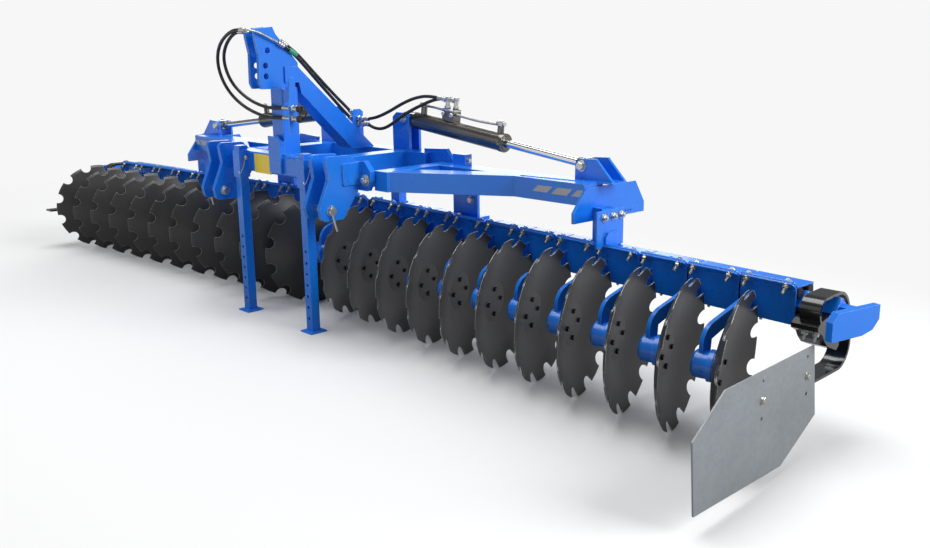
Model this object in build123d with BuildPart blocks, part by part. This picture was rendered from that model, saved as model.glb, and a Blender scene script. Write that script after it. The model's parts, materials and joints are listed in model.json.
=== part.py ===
from build123d import *
import os
from math import sin, cos, tan, atan2, hypot, degrees, radians, sqrt

os.makedirs("parts", exist_ok=True)

# Wide folding disc harrow with one row of notched discs, carried on a tractor's three-point linkage.
# Millimetres. X is across the machine, +Y runs from the hitch to the disc beams, Z is up, soil is Z = 0.
# Every position is given from the hitch: Y = 0 is the line through the two lower link pins.

# plan position of the hitch line, so that the whole machine is centred on X = 0, Y = 0
plan_centre_y = 268.7

# running and working clearances
pin_clearance = 0.08
part_gap = 5.0

# disc gangs
discs_per_wing = 11
disc_pitch = 250.0
gang_sweep = 3.96
gang_inner_x = 25.0
gang_front_y = 700.0
gang_top_z = 590.0

# disc blade: a flat middle and a spherical dish
disc_radius = 305.0
disc_flat_radius = 95.0
dish_radius = 695.0
disc_thickness = 7.0
rim_thickness = 2.5
rim_bevel = 14.0
disc_notches = 12
notch_radius = 33.0
notch_centre_radius = 298.0
disc_yaw = 16.1
disc_lean = 2.9
disc_along = 118.0
disc_back = 281.0

# bearing hub behind each disc
flange_radius = 64.0
flange_length = 12.0
hub_gap = 3.0
hub_radius = 62.0
hub_body_radius = 54.0
hub_flange_length = 20.0
hub_length = 82.0
hub_edge = 10.0
spindle_radius = 20.0
spindle_length = 55.0

# arm from clamp to hub
arm_thickness = 18.0
arm_root_top = 28.0
arm_root_bottom = -18.0
arm_bend = 90.0

# clamp round the beam
clamp_width = 240.0
clamp_height = 150.0
clamp_depth = 126.0
clamp_wall = 7.0
clamp_flange = 26.0
clamp_corner = 16.0
clamp_split = 2.0
cord_radius = 19.6
beam_side = 74.0
beam_wall = 5.0
beam_tail = 150.0

# wing frame
hinge_x = 612.0
hinge_z = 822.0
hinge_pin_radius = 20.0
hinge_boss_radius = 38.0
wing_front_y = 220.0
wing_back_y = 690.0
wing_bottom_z = 770.0
wing_top_z = 870.0
wing_wall = 5.0
end_plate_x = 1712.0
end_plate_thickness = 15.0
post_side = 90.0

# centre frame
tube_top_z = 912.0
tube_side = 110.0
front_tube_y = 75.0
front_tube_half = 575.0
rear_tube_y = 655.0
rear_tube_half = 540.0
rear_tube_wall = 5.0
side_tube_inner = 280.0
side_tube_outer = 380.0
lug_thickness = 20.0

# linkage
pin_span = 985.0
pin_z = 685.0
link_pin_radius = 18.3
link_plate_gap = 96.0
link_plate_thickness = 25.0
top_bore_radius = 16.0
mast_gap = 62.0
mast_plate = 20.0
post_half = 50.0
post_front_y = 95.0
post_back_y = 195.0
post_foot_gusset = 16.0
brace_wall = 8.0

# parking legs
leg_x = 303.0
leg_y = 44.0
leg_side = 50.0
leg_sleeve_wall = 6.0
leg_clearance = 0.8
leg_sleeve_bottom = 770.0
leg_foot_thickness = 6.0
leg_foot_half = 50.0
leg_top_z = 945.0
leg_hole_radius = 9.0

# fold cylinders
cylinder_y = 709.0
cylinder_base_x = 355.0
cylinder_base_z = 1086.0
rod_pin_x = 1608.0
rod_pin_z = 934.0
base_pin_radius = 17.5
rod_pin_radius = 17.5
eye_radius = 36.0
eye_width = 50.0
base_ear_gap = 56.0
base_ear_thickness = 16.0
rod_ear_gap = 74.0
rod_ear_thickness = 14.0
barrel_radius = 46.0
barrel_bore_radius = 38.0
barrel_start = 70.0
barrel_end = 735.0
gland_length = 60.0
rod_radius = 20.0

# end spring and side plate
spring_left_x = 2820.0
spring_width = 80.0
spring_steel = 12.0
side_plate_x = 2906.0
side_plate_thickness = 6.0

# hoses
hose_radius = 9.0
pipe_radius = 7.0
fitting_radius = 13.0

tube_bottom_z = tube_top_z - tube_side
front_tube_back = front_tube_y + tube_side
rear_tube_back = rear_tube_y + tube_side
mast_inner = mast_gap / 2
mast_outer = mast_inner + mast_plate
spring_right_x = spring_left_x + spring_width

plan = Plane.XY
side_view = Plane.YZ
front_view = Plane.XZ

sweep_sin = sin(radians(gang_sweep))
sweep_cos = cos(radians(gang_sweep))


def save(builder, label):
    shape = builder.part.moved(Location((0, -plan_centre_y, 0)))
    shape.label = label
    export_step(shape, "parts/" + label + ".step")


# the same piece on the right wing and mirrored on the left wing
def both_sides(builder, name):
    save(builder, name + "_right")
    with BuildPart() as other:
        add(mirror(builder.part, about=Plane.YZ))
    save(other, name + "_left")


# box between three pairs of limits, added to the part that is being built
def slab(x, y, z, mode=Mode.ADD):
    with Locations(((x[0] + x[1]) / 2, (y[0] + y[1]) / 2, (z[0] + z[1]) / 2)):
        Box(x[1] - x[0], y[1] - y[0], z[1] - z[0], mode=mode)


# the space inside a box section, leaving a wall all round
def hollow(x, y, z, wall):
    slab((x[0] + wall, x[1] - wall), (y[0] + wall, y[1] - wall), (z[0] + wall, z[1] - wall), mode=Mode.SUBTRACT)


# flat plate of a given outline, from a start position along the plane's normal
def plate(plane, start, thickness, outline, mode=Mode.ADD):
    with BuildSketch(plane.offset(start)) as face:
        with BuildLine():
            Polyline(*outline, close=True)
        make_face()
    extrude(face.sketch, amount=thickness, mode=mode)


# box section of a given plan outline, hollow with an even wall
def plan_box(outline, bottom, top, wall):
    with BuildSketch(plan.offset(bottom)) as outside:
        with BuildLine():
            Polyline(*outline, close=True)
        make_face()
    extrude(outside.sketch, amount=top - bottom)
    with BuildSketch(plan.offset(bottom + wall)) as inside:
        with BuildLine():
            Polyline(*outline, close=True)
        make_face()
        offset(amount=-wall)
    extrude(inside.sketch, amount=top - bottom - 2 * wall, mode=Mode.SUBTRACT)


# round bar or bore along Y
def bar_y(x, z, radius, y, mode=Mode.ADD):
    with Locations(Location((x, (y[0] + y[1]) / 2, z), (90, 0, 0))):
        Cylinder(radius, y[1] - y[0], mode=mode)


# round bar or bore along X
def bar_x(y, z, radius, x, mode=Mode.ADD):
    with Locations(Location(((x[0] + x[1]) / 2, y, z), (0, 90, 0))):
        Cylinder(radius, x[1] - x[0], mode=mode)


# round bar or bore along Z
def bar_z(x, y, radius, z, mode=Mode.ADD):
    with Locations((x, y, (z[0] + z[1]) / 2)):
        Cylinder(radius, z[1] - z[0], mode=mode)


# hose or pipe along a route of straight runs joined by tangent arcs, each as large as its two runs allow
def tube_along(route, radius, name):
    corners = [Vector(*point) for point in route]
    radii = []
    for before, here, after in zip(corners, corners[1:], corners[2:]):
        turn = (here - before).get_angle(after - here)
        shorter = min((here - before).length, (after - here).length)
        radii.append(0.45 * shorter / tan(radians(turn) / 2))
    with BuildLine() as path:
        FilletPolyline(*corners, radius=radii)
    with BuildSketch(Plane(origin=path.wire() @ 0, z_dir=path.wire() % 0)) as section:
        Circle(radius)
    sweep(section.sketch, path=path.wire())
    print(name, "length", round(path.wire().length), "smallest bend", round(min(radii)))


# gang place: local X runs outward along the beam, local Y toward the back, local Z up, from the beam's axis
gang_axis_y = gang_front_y + clamp_depth / 2
gang_axis_z = gang_top_z - clamp_height / 2
gang_place = Location((gang_inner_x, gang_axis_y, gang_axis_z), (0, 0, -gang_sweep))
gang_length = discs_per_wing * disc_pitch
beam_length = gang_length + beam_tail


# depth of the dish at a given radius
def dish_depth(radius):
    return sqrt(dish_radius**2 - disc_flat_radius**2) - sqrt(dish_radius**2 - radius**2)


disc_depth = dish_depth(disc_radius)
bevel_radius = disc_radius - rim_bevel

# disc place on the gang: local Z of this frame is the disc's axis, pointing to its hollow side
disc_v = -(clamp_depth / 2 + disc_back)
disc_axis = Vector(
    cos(radians(disc_lean)) * cos(radians(disc_yaw)),
    cos(radians(disc_lean)) * sin(radians(disc_yaw)),
    -sin(radians(disc_lean)),
)
disc_centre_z = disc_radius * cos(radians(disc_lean)) + disc_depth * sin(radians(disc_lean))


def disc_point(index):
    along = index * disc_pitch + disc_along
    x = gang_inner_x + along * sweep_cos + disc_v * sweep_sin
    y = gang_axis_y - along * sweep_sin + disc_v * sweep_cos
    return Vector(x, y, disc_centre_z)


def disc_plane(index):
    return Plane(origin=disc_point(index), x_dir=(-disc_axis.Y, disc_axis.X, 0), z_dir=disc_axis)


# notched dished disc with its bearing flange, drawn with the bolt face on the plane and the rim along +Z
with BuildPart() as blade:
    with BuildSketch(Plane.XZ) as blade_profile:
        with BuildLine():
            Line((0, 0), (disc_flat_radius, 0))
            RadiusArc((disc_flat_radius, 0), (disc_radius, disc_depth), -dish_radius)
            Line((disc_radius, disc_depth), (disc_radius, disc_depth - rim_thickness))
            Line((disc_radius, disc_depth - rim_thickness), (bevel_radius, dish_depth(bevel_radius) - disc_thickness))
            RadiusArc(
                (bevel_radius, dish_depth(bevel_radius) - disc_thickness),
                (disc_flat_radius, -disc_thickness),
                dish_radius,
            )
            Line((disc_flat_radius, -disc_thickness), (0, -disc_thickness))
            Line((0, -disc_thickness), (0, 0))
        make_face()
    revolve(axis=Axis.Z)
    with PolarLocations(notch_centre_radius, disc_notches, start_angle=180 / disc_notches):
        Cylinder(notch_radius, 4 * disc_depth, mode=Mode.SUBTRACT)
    with Locations((0, 0, -disc_thickness - flange_length)):
        Cylinder(flange_radius, flange_length, align=(Align.CENTER, Align.CENTER, Align.MIN))
    with Locations((0, 0, -disc_thickness - flange_length)):
        Cylinder(spindle_radius, spindle_length, align=(Align.CENTER, Align.CENTER, Align.MAX))

for index in range(discs_per_wing):
    with BuildPart() as disc:
        add(blade.part.moved(disc_plane(index).location))
    save(disc, "disc_right_%02d" % (index + 1))
    with BuildPart() as disc_left:
        add(mirror(disc.part, about=Plane.YZ))
    save(disc_left, "disc_left_%02d" % (index + 1))

clamp_start = (disc_pitch - clamp_width) / 2
half_depth = clamp_depth / 2
half_height = clamp_height / 2
split = clamp_split / 2
diag = sqrt(0.5)

# square beam on its edge, inside the clamps
with BuildPart() as gang_beam:
    with BuildSketch(Plane.YZ):
        Rectangle(beam_side, beam_side, rotation=45)
        Rectangle(beam_side - 2 * beam_wall, beam_side - 2 * beam_wall, rotation=45, mode=Mode.SUBTRACT)
    extrude(amount=beam_length)
    with BuildSketch(Plane.YZ.offset(beam_length - beam_wall)):
        Rectangle(beam_side, beam_side, rotation=45)
    extrude(amount=beam_wall)
with BuildPart() as beam_placed:
    add(gang_beam.part.moved(gang_place))
both_sides(beam_placed, "gang_beam")

# rubber cords in the four corners between beam and clamp
cord_y = half_depth - clamp_wall - cord_radius
cord_z = half_height - clamp_wall - cord_radius
with BuildPart() as cords:
    with BuildSketch(Plane.YZ):
        for side_y in (-1, 1):
            for side_z in (-1, 1):
                with Locations((side_y * cord_y, side_z * cord_z)):
                    Circle(cord_radius)
    extrude(amount=gang_length)
with BuildPart() as cords_placed:
    add(cords.part.moved(gang_place))
both_sides(cords_placed, "rubber_cords")

# the clamp halves meet on the line through two corners, where each has a bolting flange
corner_cut = split / diag


# one half of a clamp: two walls with a mitred corner and a flange along each free edge
def clamp_half(upper):
    turn = 1 if upper else -1
    wall = clamp_wall
    with BuildSketch(Plane.YZ) as half:
        with BuildLine():
            Polyline(
                (turn * (-half_depth + corner_cut), turn * half_height),
                (turn * half_depth, turn * half_height),
                (turn * half_depth, turn * (-half_height + corner_cut)),
                (turn * (half_depth - wall), turn * (-half_height + wall + corner_cut)),
                (turn * (half_depth - wall), turn * (half_height - wall)),
                (turn * (-half_depth + wall + corner_cut), turn * (half_height - wall)),
                close=True,
            )
        make_face()
        for along in (1, -1):
            away = split + wall / 2
            reach = (clamp_flange - wall) / 2
            centre_y = along * (-half_depth - reach * diag) + turn * away * diag
            centre_z = along * (half_height + reach * diag) + turn * away * diag
            with Locations((centre_y, centre_z)):
                Rectangle(wall, clamp_flange + wall, rotation=45)
    extrude(half.sketch, amount=clamp_width)


# edges across a flange's free corners, which run with its thickness
def flange_corners(builder):
    across = builder.edges().filter_by(Axis((0, 0, 0), (0, 1, 1)))
    return [e for e in across if e.center().Z - e.center().Y > half_depth + half_height + clamp_wall
            or e.center().Y - e.center().Z > half_depth + half_height + clamp_wall]


# back half of each clamp: top and back walls
with BuildPart() as clamp_back:
    clamp_half(True)
    fillet(flange_corners(clamp_back), clamp_corner)

with BuildPart() as clamp_backs:
    for index in range(discs_per_wing):
        place = Location((index * disc_pitch + clamp_start, 0, 0))
        add(clamp_back.part.moved(gang_place * place))
both_sides(clamp_backs, "clamps")

# front half of each clamp with the curved arm and the bearing hub welded on
hub_axis = Vector(
    cos(radians(disc_lean)) * cos(radians(disc_yaw + gang_sweep)),
    cos(radians(disc_lean)) * sin(radians(disc_yaw + gang_sweep)),
    -sin(radians(disc_lean)),
)
hub_face = disc_thickness + flange_length + hub_gap
disc_w = disc_centre_z - gang_axis_z
hub_start = Vector(disc_along - clamp_start, disc_v, disc_w) - hub_axis * hub_face
hub_plane = Plane(origin=hub_start, x_dir=(-hub_axis.Y, hub_axis.X, 0), z_dir=-hub_axis)
hub_middle = hub_start - hub_axis * (hub_length / 2)
arm_front = hub_middle.Y - 25
arm_back = hub_middle.Y + 24

with BuildPart() as arm:
    clamp_half(False)
    fillet(flange_corners(arm), clamp_corner)
    with BuildSketch(Plane.YZ.offset(hub_middle.X - arm_thickness / 2)) as arm_outline:
        with BuildLine():
            Polyline(
                (-half_depth + clamp_wall / 2, arm_root_top),
                (-half_depth + clamp_wall / 2, arm_root_bottom),
                (arm_back + 6, arm_root_bottom - 90),
                (arm_back, disc_w + hub_radius / 2),
                (arm_front, disc_w + hub_radius / 2),
                (arm_front, arm_root_top - 90),
                close=True,
            )
        make_face()
        bends = arm_outline.vertices().group_by(Axis.X)[0].sort_by(Axis.Y)
        fillet(bends[-1], arm_bend)
    extrude(amount=arm_thickness)
    with BuildSketch(hub_plane):
        Circle(hub_radius)
    extrude(amount=hub_flange_length)
    with BuildSketch(hub_plane):
        Circle(hub_body_radius)
    extrude(amount=hub_length)
    far_edge = arm.edges().filter_by(GeomType.CIRCLE).sort_by(lambda e: (e.center() - hub_start).dot(-hub_axis))[-1]
    chamfer(far_edge, hub_edge)
    with BuildSketch(hub_plane):
        Circle(spindle_radius + pin_clearance)
    extrude(amount=spindle_length, mode=Mode.SUBTRACT)

with BuildPart() as arms:
    for index in range(discs_per_wing):
        place = Location((index * disc_pitch + clamp_start, 0, 0))
        add(arm.part.moved(gang_place * place))
both_sides(arms, "disc_arms")


# wing frame: hinge tube, front and back arms that meet, end plate, rod ears and posts
end_place = Location((end_plate_x, 720, 0), (0, 0, -gang_sweep))
end_holes = 10
end_hole_pitch = 18.0
with BuildPart() as end_plate:
    plate(side_view, 0, end_plate_thickness, [
        (-240, 698), (253, 698), (253, 746), (186, 852), (-157, 852), (-240, 746),
    ])
    with Locations(Location((end_plate_thickness / 2, 72, 716))):
        with GridLocations(0, end_hole_pitch, 1, end_holes):
            Box(2 * end_plate_thickness, 8, 9, mode=Mode.SUBTRACT)

arm_end_x = end_plate_x - 2
ear_front = cylinder_y - rod_ear_gap / 2 - rod_ear_thickness
ear_back = cylinder_y + rod_ear_gap / 2
middle_post_x = 735.0
with BuildPart() as wing:
    plan_box([
        (690, wing_front_y), (716, wing_front_y), (1290, 548), (arm_end_x, 548), (arm_end_x, 648), (1220, 648),
        (690, 345),
    ], wing_bottom_z, wing_top_z, wing_wall)
    plan_box([
        (700, 575), (1300, 575), (arm_end_x, 620), (arm_end_x, 690), (700, 690),
    ], wing_bottom_z, wing_top_z, wing_wall)
    plan_box([
        (640, wing_front_y), (740, wing_front_y), (740, wing_back_y), (640, wing_back_y),
    ], wing_bottom_z, wing_top_z, wing_wall)
    slab((hinge_x, 642), (wing_front_y, wing_back_y), (hinge_z - 20, hinge_z + 20))
    bar_y(hinge_x, hinge_z, hinge_boss_radius, (wing_front_y, wing_back_y))
    add(end_plate.part.moved(end_place))
    # ears for the rod
    for start in (ear_front, ear_back):
        plate(front_view, -start - rod_ear_thickness, rod_ear_thickness, [
            (1570, wing_top_z - wing_wall), (1572, 940), (1592, 966), (1690, 972), (1795, wing_top_z - wing_wall),
        ])
        slab((1570, 1795), (cylinder_y - 60, start + rod_ear_thickness), (wing_top_z - wing_wall, wing_top_z))
    bar_y(rod_pin_x, rod_pin_z, rod_pin_radius, (ear_front - 1, ear_back + rod_ear_thickness + 1), mode=Mode.SUBTRACT)
    # stop head over the middle post
    slab((770, 860), (640, wing_back_y), (wing_top_z - wing_wall, 928))
    # middle post: a narrow box and a wider plate beside it, on a foot
    slab((middle_post_x, middle_post_x + 95), (600, 674), (wing_bottom_z - 12, wing_bottom_z))
    slab((middle_post_x, middle_post_x + 95), (674, 764), (gang_top_z, wing_bottom_z))
    hollow((middle_post_x, middle_post_x + 95), (674, 764), (gang_top_z, wing_bottom_z), wing_wall)
    slab((middle_post_x + 95, middle_post_x + 180), (674, 690), (gang_top_z, wing_bottom_z))
    slab((middle_post_x + 95, middle_post_x + 180), (674, 764), (gang_top_z, gang_top_z + 12))
    # outer post with a sloped top, bolted to the outside of the end plate
    plate(front_view, -608 - post_side, post_side, [
        (end_plate_x + 5, gang_top_z), (1812, gang_top_z), (1812, 715), (1770, 755), (end_plate_x + 5, 755),
    ])
    slab((end_plate_x + 24, 1805), (616, 690), (gang_top_z + 7, 706), mode=Mode.SUBTRACT)
    bar_y(hinge_x, hinge_z, hinge_pin_radius + pin_clearance, (wing_front_y - 10, wing_back_y + 10), mode=Mode.SUBTRACT)
both_sides(wing, "wing_frame")

# spiral spring of flat steel round the end of the gang beam, its lower run reaching forward to the side plate
spring_route = [(590, 438), (424, 494), (424, 579), (655, 579), (726, 272), (-60, 286)]
spring_bends = [44, 48, 100, 92]
spring_mid_x = (spring_left_x + spring_right_x) / 2
with BuildPart() as spring:
    with BuildLine() as spring_path:
        FilletPolyline(*[(spring_mid_x, y, z) for y, z in spring_route], radius=spring_bends)
    spring_wire = spring_path.wire()
    with BuildSketch(Plane(origin=spring_wire @ 0, x_dir=(1, 0, 0), z_dir=spring_wire % 0)) as strip:
        Rectangle(spring_width, spring_steel)
    sweep(strip.sketch, path=spring_wire)
    # stepped block that grips the spring against the lower front side of the beam
    plate(side_view, spring_left_x - 25, spring_width + 25, [
        (410, 484), (410, 466), (452, 444), (470, 418), (502, 389), (580, 357), (600, 372), (596, 425),
        (570, 462), (520, 512), (440, 500),
    ])
    with Locations(gang_place):
        Box(beam_length, beam_side, beam_side, rotation=(45, 0, 0),
            align=(Align.MIN, Align.CENTER, Align.CENTER), mode=Mode.SUBTRACT)
both_sides(spring, "end_spring")

# thick deflector plate carried on a stub from the end of the beam
deflector_thickness = 30.0
deflector_yaw = 11.5
with BuildPart() as deflector_plate:
    plate(side_view, -deflector_thickness, deflector_thickness, [
        (-125, -58), (-125, 14), (-96, 46), (125, 46), (125, -8), (92, -44), (36, -58),
    ])
with BuildPart() as deflector:
    add(deflector_plate.part.moved(gang_place * Location((2999, -83, 0), (0, 0, -deflector_yaw))))
    add(Solid.make_box(88, 50, 50, Plane((beam_length, -25, -25))).moved(gang_place))
both_sides(deflector, "end_deflector")

# galvanised side plate bolted to an angle on the spring's lower run
with BuildPart() as side_plate:
    plate(side_view, side_plate_x, side_plate_thickness, [
        (-435, 320), (-252, 436), (364, 433), (409, 155), (158, 37), (-410, 64),
    ])
    for y, z in ((-9, 398), (-4, 264), (314, 401), (323, 260)):
        bar_x(y, z, 7, (side_plate_x - 1, side_plate_x + side_plate_thickness + 1), mode=Mode.SUBTRACT)
    slab((side_plate_x - 6, side_plate_x), (-55, 372), (292, 356))
    slab((spring_left_x + 10, side_plate_x), (-55, 372), (292, 298))
save(side_plate, "side_plate_right")

# fold cylinder: barrel with its base eye, and rod with its end eye, on the line between the two pins
run = rod_pin_x - cylinder_base_x
rise = rod_pin_z - cylinder_base_z
cylinder_length = hypot(run, rise)
cylinder_tilt = degrees(atan2(rise, run))
cylinder_place = Location((cylinder_base_x, cylinder_y, cylinder_base_z), (0, -cylinder_tilt, 0))
with BuildPart() as barrel:
    bar_x(0, 0, barrel_radius, (barrel_start, barrel_end))
    bar_x(0, 0, barrel_bore_radius, (barrel_start + 30, barrel_end - gland_length), mode=Mode.SUBTRACT)
    bar_x(0, 0, rod_radius + pin_clearance, (barrel_start + 40, barrel_end + 1), mode=Mode.SUBTRACT)
    bar_y(0, 0, eye_radius, (-eye_width / 2, eye_width / 2))
    slab((0, barrel_start + 4), (-eye_width / 2, eye_width / 2), (-eye_radius + 4, eye_radius - 4))
    bar_y(0, 0, base_pin_radius + pin_clearance, (-eye_width, eye_width), mode=Mode.SUBTRACT)
    # lock valve block on the barrel with a port boss at each end
    slab((290, 375), (-27, 27), (barrel_radius - 4, barrel_radius + 60))
    for along in (barrel_start + 50, barrel_end - 42):
        bar_z(along, 0, 17, (barrel_radius - 6, barrel_radius + 34))
with BuildPart() as barrel_placed:
    add(barrel.part.moved(cylinder_place))
both_sides(barrel_placed, "cylinder_barrel")

# thin steel pipes and elbows from the valve block to the two ports
port_height = barrel_radius + 46
with BuildPart() as pipes:
    tube_along([
        (289, -8, port_height), (200, -8, port_height + 2), (barrel_start + 72, 0, port_height - 2),
    ], pipe_radius, "short port pipe")
    tube_along([
        (376, -8, port_height - 10), (540, -8, port_height - 14), (barrel_end - 64, 0, port_height - 8),
    ], pipe_radius, "long port pipe")
    for along in (barrel_start + 50, barrel_end - 42):
        bar_z(along, 0, fitting_radius, (barrel_radius + 34, port_height + 8))
        bar_x(0, port_height, fitting_radius - 2, (along - 26, along + 26))
    for along, across in ((312, -12), (350, 12)):
        bar_z(along, across, fitting_radius - 1, (barrel_radius + 60, barrel_radius + 112))
        bar_x(across, barrel_radius + 104, fitting_radius - 2, (along - 36, along + 10))
with BuildPart() as pipes_placed:
    add(pipes.part.moved(cylinder_place))
both_sides(pipes_placed, "cylinder_pipes")

with BuildPart() as rod:
    bar_x(0, 0, rod_radius, (barrel_end - gland_length - 40, cylinder_length - 20))
    bar_y(cylinder_length, 0, eye_radius, (-eye_width / 2, eye_width / 2))
with BuildPart() as rod_placed:
    add(rod.part.moved(cylinder_place))
both_sides(rod_placed, "cylinder_rod")

# parking legs: square tubes with a foot plate and a column of peg holes
leg_half = leg_side / 2
leg_holes = 7
leg_hole_pitch = 60.0
for side, name in ((1, "leg_right"), (-1, "leg_left")):
    with BuildPart() as leg:
        slab((side * leg_x - leg_half, side * leg_x + leg_half), (leg_y - leg_half, leg_y + leg_half),
             (leg_foot_thickness, leg_top_z))
        slab((side * leg_x - leg_foot_half, side * leg_x + leg_foot_half),
             (leg_y - leg_foot_half, leg_y + leg_foot_half), (0, leg_foot_thickness))
        for index in range(leg_holes):
            bar_y(side * leg_x, 75 + index * leg_hole_pitch, leg_hole_radius, (leg_y - leg_side, leg_y + leg_side),
                  mode=Mode.SUBTRACT)
    save(leg, name)

# centre frame: front and back cross tubes, side tubes, leg sleeves, hinge lugs and cylinder ears
front_lug_start = wing_front_y - part_gap - lug_thickness
rear_lug_start = wing_back_y + part_gap
sleeve = leg_half + leg_clearance + leg_sleeve_wall
leg_hole = leg_half + leg_clearance
ear_bottom = tube_top_z - 2
with BuildPart() as frame:
    slab((-front_tube_half, front_tube_half), (front_tube_y, front_tube_back), (tube_bottom_z, tube_top_z))
    fillet(frame.edges().filter_by(Axis.X), 12)
    slab((-rear_tube_half, rear_tube_half), (rear_tube_y, rear_tube_back), (tube_bottom_z, tube_top_z))
    hollow((-rear_tube_half, rear_tube_half), (rear_tube_y, rear_tube_back), (tube_bottom_z, tube_top_z),
           rear_tube_wall)
    for side in (-1, 1):
        low, high = sorted((side * side_tube_inner, side * side_tube_outer))
        slab((low, high), (front_tube_back - 8, rear_tube_y), (tube_bottom_z, tube_top_z))
        hollow((low, high), (front_tube_back, rear_tube_y), (tube_bottom_z, tube_top_z), rear_tube_wall)
        # hinge lugs: the front one on the back of the front tube, the rear one on the end of the rear tube
        plate(front_view, -front_lug_start - lug_thickness, wing_front_y - part_gap - front_tube_back, [
            (side * 490, tube_bottom_z), (side * 490, 905), (side * 606, 917), (side * 650, 870),
            (side * 652, hinge_z), (side * 622, 768), (side * 548, 768),
        ])
        plate(front_view, -rear_lug_start - lug_thickness, lug_thickness, [
            (side * 490, tube_bottom_z), (side * 490, 930), (side * 665, 940), (side * 713, 881),
            (side * 700, hinge_z - 20), (side * 650, 768), (side * 548, 768),
        ])
        bar_y(side * hinge_x, hinge_z, hinge_pin_radius + pin_clearance, (front_lug_start - 30, rear_lug_start + 40),
              mode=Mode.SUBTRACT)
        # ears for the base of the cylinder
        for start in (cylinder_y - base_ear_gap / 2 - base_ear_thickness, cylinder_y + base_ear_gap / 2):
            plate(front_view, -start - base_ear_thickness, base_ear_thickness, [
                (side * 267, ear_bottom), (side * 267, 1092), (side * 300, 1118), (side * 386, 1118),
                (side * 402, 1098), (side * 402, ear_bottom),
            ])
        slab(sorted((side * 267, side * 283)), (cylinder_y - base_ear_gap / 2, cylinder_y + base_ear_gap / 2),
             (ear_bottom, 1040))
        bar_y(side * cylinder_base_x, cylinder_base_z, base_pin_radius, (600, 800), mode=Mode.SUBTRACT)
        # stop post that the inner end of the folded-down wing beam rests against
        slab(sorted((side * 186, side * 256)), (706, 760), (gang_top_z + part_gap + 12, tube_bottom_z + 2))
        slab(sorted((side * 176, side * 266)), (702, 764), (gang_top_z + part_gap, gang_top_z + part_gap + 12))
        # leg sleeve with a collar
        slab((side * leg_x - sleeve, side * leg_x + sleeve), (leg_y - sleeve, leg_y + sleeve),
             (leg_sleeve_bottom, tube_top_z + 6))
        slab((side * leg_x - leg_hole, side * leg_x + leg_hole), (leg_y - leg_hole, leg_y + leg_hole),
             (leg_sleeve_bottom - 10, tube_top_z + 20), mode=Mode.SUBTRACT)
save(frame, "centre_frame")

# lower link plates, in pairs, over the ends of the front cross tube
with BuildPart() as link_plates:
    for side in (-1, 1):
        for inner in (pin_span / 2 - link_plate_gap / 2 - link_plate_thickness, pin_span / 2 + link_plate_gap / 2):
            low = inner if side > 0 else -inner - link_plate_thickness
            with BuildSketch(side_view.offset(low)) as link_face:
                with BuildLine():
                    Polyline((-22, 954), (130, 950), (front_tube_back, 897), (front_tube_back, 786), (76, 634),
                             (-53, 638), (-67, 699), (-5, 840), close=True)
                make_face()
                fillet(link_face.vertices(), 24)
            extrude(amount=link_plate_thickness)
            slab((low, low + link_plate_thickness), (front_tube_y, front_tube_back),
                 (tube_bottom_z, tube_top_z), mode=Mode.SUBTRACT)
    bar_x(0, pin_z, link_pin_radius + pin_clearance, (-700, 700), mode=Mode.SUBTRACT)
save(link_plates, "link_plates")

with BuildPart() as link_pins:
    for side in (-1, 1):
        low = side * pin_span / 2 - link_plate_gap / 2 - link_plate_thickness - 15
        high = side * pin_span / 2 + link_plate_gap / 2 + link_plate_thickness + 15
        bar_x(0, pin_z, link_pin_radius, (low, high))
save(link_pins, "link_pins")

# hinge pins of the wings and base pins of the cylinders
with BuildPart() as hinge_pins:
    for side in (-1, 1):
        bar_y(side * hinge_x, hinge_z, hinge_pin_radius, (front_lug_start - 22, wing_front_y + 60))
        bar_y(side * hinge_x, hinge_z, hinge_pin_radius, (wing_back_y - 60, rear_lug_start + lug_thickness + 12))
        bar_y(side * cylinder_base_x, cylinder_base_z, base_pin_radius,
              (cylinder_y - base_ear_gap / 2 - 24, cylinder_y + base_ear_gap / 2 + 24))
save(hinge_pins, "hinge_pins")

# mast: two top link plates on a square post
with BuildPart() as mast_plates:
    for low in (-mast_outer, mast_inner):
        with BuildSketch(side_view.offset(low)) as mast_face:
            with BuildLine():
                Polyline((-50, 1566), (61, 1577), (78, 1540), (206, 1392), (206, 1310), (110, 1262), (-20, 1262),
                         (-34, 1290), (-30, 1440), (-46, 1520), close=True)
            make_face()
            fillet(mast_face.vertices(), 8)
        extrude(amount=mast_plate)
    for y, z in ((25, 1457), (8, 1381), (9, 1327)):
        bar_x(y, z, top_bore_radius, (-100, 100), mode=Mode.SUBTRACT)
save(mast_plates, "mast_plates")

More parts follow.
